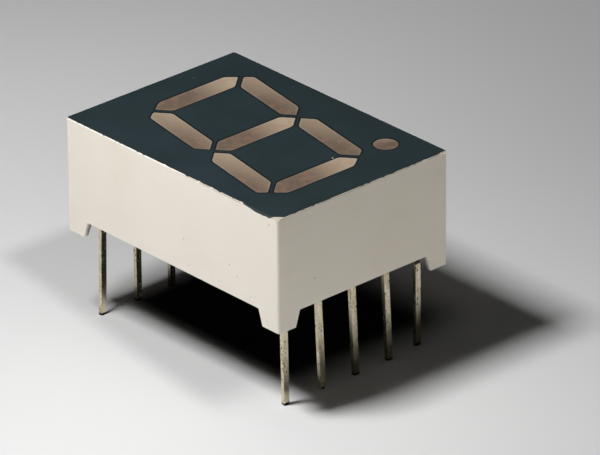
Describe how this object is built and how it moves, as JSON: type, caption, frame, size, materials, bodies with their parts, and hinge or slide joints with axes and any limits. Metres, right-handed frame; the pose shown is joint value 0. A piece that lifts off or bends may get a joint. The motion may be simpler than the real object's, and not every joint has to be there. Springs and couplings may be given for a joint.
{
  "type": "seven-segment led display",
  "caption": "LED digit display: slanted figure-eight of bar segments with a decimal point on a rectangular moulded body that stands on straight through-hole leads.",
  "frame": {"origin": "under the middle of the body, level with the lead tips", "axes": "+X towards the digit's right, +Y towards its top, +Z the way it faces"},
  "size_m": [0.0126, 0.0178, 0.0125],
  "materials": {
    "housing": "moulded, pale cream",
    "ink": "dark blue-grey printed ink, chipped at the edges",
    "light_pipe": "milky cast epoxy, unlit",
    "potting": "cast epoxy",
    "lead": "dull tin plate, specked",
    "led_chip": "diced crystal",
    "bond_wire": "fine gold-coloured wire"
  },
  "bodies": {
    "root": {"housing": "housing", "face_ink": "ink", "segment_a": "light_pipe", "segment_b": "light_pipe", "segment_c": "light_pipe", "segment_d": "light_pipe", "segment_e": "light_pipe", "segment_f": "light_pipe", "segment_g": "light_pipe", "decimal_point": "light_pipe", "back_potting": "potting", "common_lead": "lead", "lead_1": "lead", "lead_2": "lead", "lead_4": "lead", "lead_5": "lead", "lead_6": "lead", "lead_7": "lead", "lead_9": "lead", "lead_10": "lead", "led_chip_a": "led_chip", "led_chip_b": "led_chip", "led_chip_c": "led_chip", "led_chip_d": "led_chip", "led_chip_e": "led_chip", "led_chip_f": "led_chip", "led_chip_g": "led_chip", "led_chip_dp": "led_chip", "bond_wire_a": "bond_wire", "bond_wire_b": "bond_wire", "bond_wire_c": "bond_wire", "bond_wire_d": "bond_wire", "bond_wire_e": "bond_wire", "bond_wire_f": "bond_wire", "bond_wire_g": "bond_wire", "bond_wire_dp": "bond_wire"}
  },
  "joints": []
}
